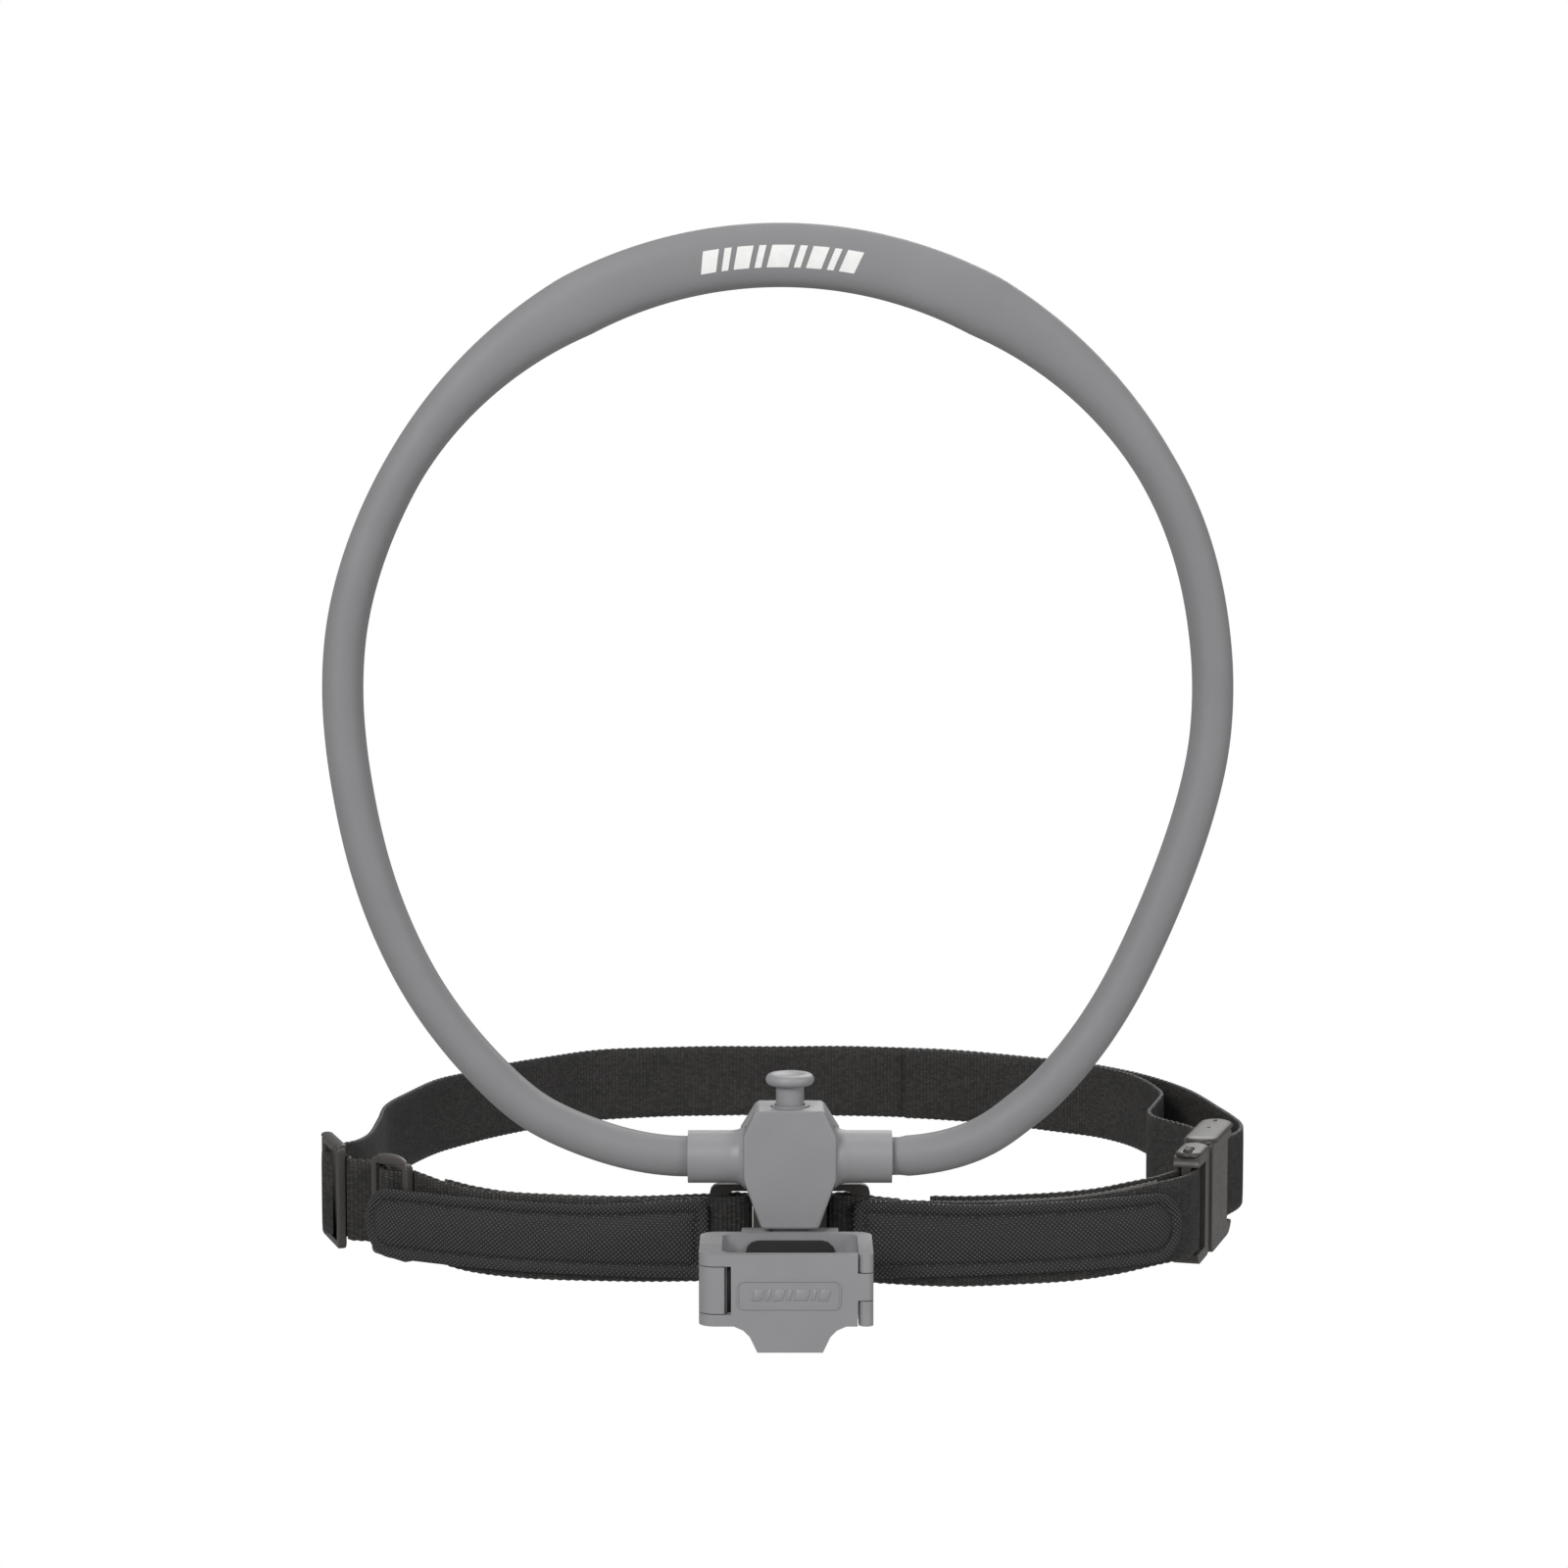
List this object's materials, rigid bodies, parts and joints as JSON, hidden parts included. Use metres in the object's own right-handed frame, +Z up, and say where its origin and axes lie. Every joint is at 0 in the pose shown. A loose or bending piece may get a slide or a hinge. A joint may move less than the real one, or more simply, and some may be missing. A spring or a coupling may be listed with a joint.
{
  "type": "neck camera holder",
  "caption": "Hands-free neck ring with a hub, a tilting hinged camera clamp and a webbing chest strap with sliders and a side-release buckle.",
  "frame": {"origin": "middle of the nape pad's inner face at the top of the neck ring, in the ring's plane", "axes": "+Z up along the neck ring, +Y from the camera clamp back round the wearer, +X across the hub towards the buckle"},
  "size_m": [0.3227, 0.3457, 0.3509],
  "materials": {
    "silicone": "matt moulded silicone",
    "abs_grey": "satin moulded ABS",
    "steel": "plated",
    "ferrule_aluminium": "crimped",
    "spring_wire": "drawn wire",
    "black_rubber": "matt",
    "nylon_webbing": "ribbed nylon weave",
    "leatherette": "cross-hatch embossed",
    "hook_tape": "woven hook tape",
    "loop_tape": "brushed pile",
    "acetal_black": "satin moulded acetal"
  },
  "bodies": {
    "harness": {"neck_sleeve": "silicone", "neck_core": "steel", "ferrule_left": "ferrule_aluminium", "ferrule_right": "ferrule_aluminium", "hub_rear_body": "abs_grey", "hub_front_cover": "abs_grey", "hub_screw_1": "steel", "hub_screw_2": "steel", "hub_screw_3": "steel", "hub_screw_4": "steel", "stem_bush": "abs_grey", "plunger_spring": "spring_wire", "strap_plate": "acetal_black", "plate_screw_1": "steel", "plate_screw_2": "steel", "front_strap_left": "nylon_webbing", "front_strap_right": "nylon_webbing", "pad_left": "leatherette", "pad_right": "leatherette", "hook_tape_left": "hook_tape", "hook_tape_right": "hook_tape", "loop_tape_left": "loop_tape", "loop_tape_right": "loop_tape", "triglide_left": "acetal_black", "triglide_front_left": "acetal_black", "back_strap": "nylon_webbing", "back_strap_tail": "nylon_webbing", "buckle_plug": "acetal_black"},
    "pull_knob": {"knob": "abs_grey", "plunger_rod": "steel", "brake_tip": "black_rubber"},
    "clamp": {"clamp_frame": "abs_grey", "rear_grip_pad": "black_rubber", "tilt_axle": "steel", "door_pin": "steel"},
    "door": {"clamp_door": "abs_grey", "front_grip_pad": "black_rubber", "latch_pin": "steel", "latch_spring": "spring_wire"},
    "latch": {"latch_lever": "abs_grey"},
    "socket": {"buckle_socket": "acetal_black", "back_strap_end": "nylon_webbing"},
    "arm_upper": {"buckle_arm_upper": "acetal_black"},
    "arm_lower": {"buckle_arm_lower": "acetal_black"}
  },
  "joints": [
    {"name": "knob_pull", "type": "slide", "parent": "harness", "child": "pull_knob", "axis": [0, 0, 1], "range_m": [0, 0.004], "stiffness_N_per_m": 400, "springref_m": -0.004, "deforming": ["plunger_spring"]},
    {"name": "clamp_tilt", "type": "hinge", "parent": "harness", "child": "clamp", "pos_m": [0, -0.003, -0.3054], "axis": [1, 0, 0], "range_deg": [-8, 40]},
    {"name": "door_swing", "type": "hinge", "parent": "clamp", "child": "door", "pos_m": [0.0237, -0.0437, -0.3111], "axis": [0, 0, 1], "range_deg": [0, 80]},
    {"name": "latch_swing", "type": "hinge", "parent": "door", "child": "latch", "pos_m": [-0.0254, -0.037, -0.3111], "axis": [0, 0, 1], "range_deg": [0, 6], "stiffness_Nm_per_rad": 0.1, "springref_deg": -5.73},
    {"name": "buckle_release", "type": "slide", "parent": "harness", "child": "socket", "axis": [0.28, 0.96, 0], "range_m": [0, 0.028], "deforming": ["back_strap_end", "buckle_arm_upper", "buckle_arm_lower"]},
    {"name": "arm_upper_flex", "type": "hinge", "parent": "harness", "child": "arm_upper", "pos_m": [0.13908, 0.07156, -0.2951], "axis": [-0.96, 0.28, 0], "range_deg": [0, 6], "stiffness_Nm_per_rad": 0.5},
    {"name": "arm_lower_flex", "type": "hinge", "parent": "harness", "child": "arm_lower", "pos_m": [0.13908, 0.07156, -0.3181], "axis": [0.96, -0.28, 0], "range_deg": [0, 6], "stiffness_Nm_per_rad": 0.5}
  ],
  "couplings": [
    {"joint": "arm_lower_flex", "follows": "arm_upper_flex", "ratio": 1}
  ]
}
